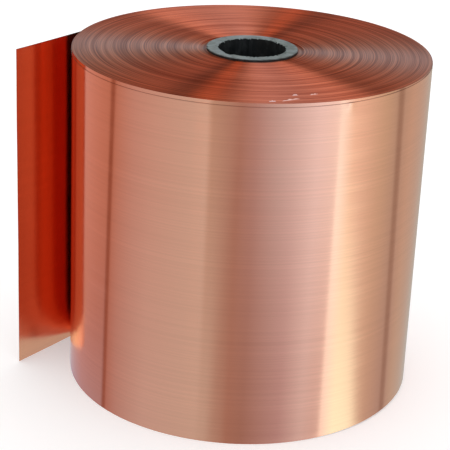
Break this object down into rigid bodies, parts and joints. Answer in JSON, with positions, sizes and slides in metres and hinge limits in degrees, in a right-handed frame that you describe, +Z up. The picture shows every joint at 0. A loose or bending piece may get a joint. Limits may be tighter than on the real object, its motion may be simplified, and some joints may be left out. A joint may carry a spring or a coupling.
{
  "type": "copper foil roll",
  "caption": "Wide roll of thin bare copper foil wound on a plastic tube, stood on end, with a loose foil end that flexes away from the roll.",
  "frame": {"origin": "on the roll's axis, at the floor that the roll stands on", "axes": "+Z up along the roll's axis and the tube's bore; the loose end leaves the roll at the -X side, towards -Y"},
  "size_m": [0.4578, 0.3999, 0.3885],
  "materials": {
    "copper": "rolled bright copper foil, satin along the rolling direction",
    "core_plastic": "black tube with grey sawn ends",
    "tape": "tan adhesive tape"
  },
  "bodies": {
    "roll": {"core_tube": "core_plastic", "start_tape": "tape", "first_laps": "copper", "main_laps": "copper", "outer_laps": "copper"},
    "tail_1": {"tail_panel_1": "copper"},
    "tail_2": {"tail_panel_2": "copper"},
    "tail_3": {"tail_panel_3": "copper"},
    "tail_4": {"tail_panel_4": "copper"},
    "tail_5": {"tail_panel_5": "copper"},
    "tail_6": {"tail_panel_6": "copper"}
  },
  "joints": [
    {"name": "tail_hinge_1", "type": "hinge", "parent": "roll", "child": "tail_1", "pos_m": [-0.19027, 0.06499, 0.19125], "axis": [0, 0, 1], "range_deg": [-30, 17.4], "stiffness_Nm_per_rad": 0.19},
    {"name": "tail_hinge_2", "type": "hinge", "parent": "tail_1", "child": "tail_2", "pos_m": [-0.20128, 0.04865, 0.19125], "axis": [0, 0, 1], "range_deg": [-10, 6], "stiffness_Nm_per_rad": 0.19},
    {"name": "tail_hinge_3", "type": "hinge", "parent": "tail_2", "child": "tail_3", "pos_m": [-0.21239, 0.03238, 0.19125], "axis": [0, 0, 1], "range_deg": [-10, 6], "stiffness_Nm_per_rad": 0.19},
    {"name": "tail_hinge_4", "type": "hinge", "parent": "tail_3", "child": "tail_4", "pos_m": [-0.22357, 0.01616, 0.19125], "axis": [0, 0, 1], "range_deg": [-10, 6], "stiffness_Nm_per_rad": 0.19},
    {"name": "tail_hinge_5", "type": "hinge", "parent": "tail_4", "child": "tail_5", "pos_m": [-0.23484, 0.00001, 0.19125], "axis": [0, 0, 1], "range_deg": [-10, 6], "stiffness_Nm_per_rad": 0.19},
    {"name": "tail_hinge_6", "type": "hinge", "parent": "tail_5", "child": "tail_6", "pos_m": [-0.2462, -0.01609, 0.19125], "axis": [0, 0, 1], "range_deg": [-10, 6], "stiffness_Nm_per_rad": 0.19}
  ],
  "couplings": [
    {"joint": "tail_hinge_2", "follows": "tail_hinge_1", "ratio": 0.33},
    {"joint": "tail_hinge_3", "follows": "tail_hinge_1", "ratio": 0.33},
    {"joint": "tail_hinge_4", "follows": "tail_hinge_1", "ratio": 0.33},
    {"joint": "tail_hinge_5", "follows": "tail_hinge_1", "ratio": 0.33},
    {"joint": "tail_hinge_6", "follows": "tail_hinge_1", "ratio": 0.33}
  ]
}
